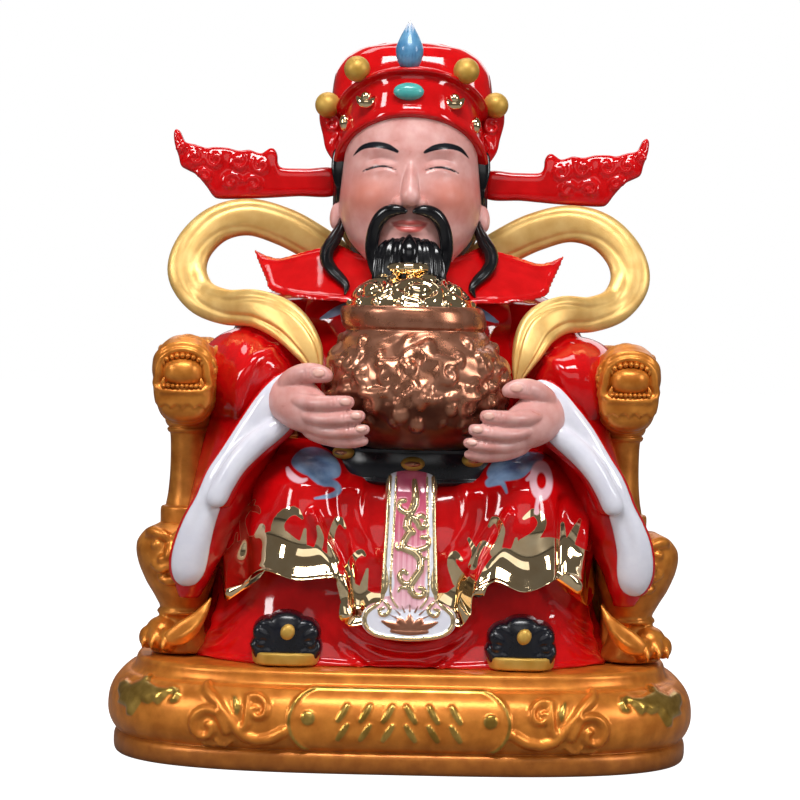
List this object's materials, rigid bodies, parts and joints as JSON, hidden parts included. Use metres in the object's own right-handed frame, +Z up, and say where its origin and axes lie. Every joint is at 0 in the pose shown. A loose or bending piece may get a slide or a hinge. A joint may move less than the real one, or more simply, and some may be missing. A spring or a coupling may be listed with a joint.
{
  "type": "caishen figure",
  "caption": "Seated god of wealth in glazed ceramic on a dragon-armed throne, holding a bowl of ingots, with plug-in hat wings and a moulded plinth.",
  "frame": {"origin": "middle of the plinth's underside, on the surface that it stands on", "axes": "+Z up, the figure faces -Y, +X to the right of a viewer in front of it"},
  "size_m": [0.3286, 0.2265, 0.4073],
  "materials": {
    "bronze_gold": "satin bronze-gold paint over ceramic",
    "red_glaze": "deep glossy red glaze",
    "satin_gold": "satin yellow-gold paint on the scarf and the beads",
    "mirror_gold": "fired mirror-bright gold on the hem and the heap of ingots",
    "copper_bronze": "semi-gloss copper-bronze paint on the bowl",
    "white_glaze": "glossy white glaze on the cuffs and the panel's end",
    "skin": "soft satin flesh colour",
    "black_glaze": "black hair, belt and shoes",
    "blue_glaze": "blue and turquoise beads and clouds"
  },
  "bodies": {
    "root": {"plinth": "bronze_gold", "figure": "red_glaze", "left_hat_wing": "red_glaze", "right_hat_wing": "red_glaze"}
  },
  "joints": []
}
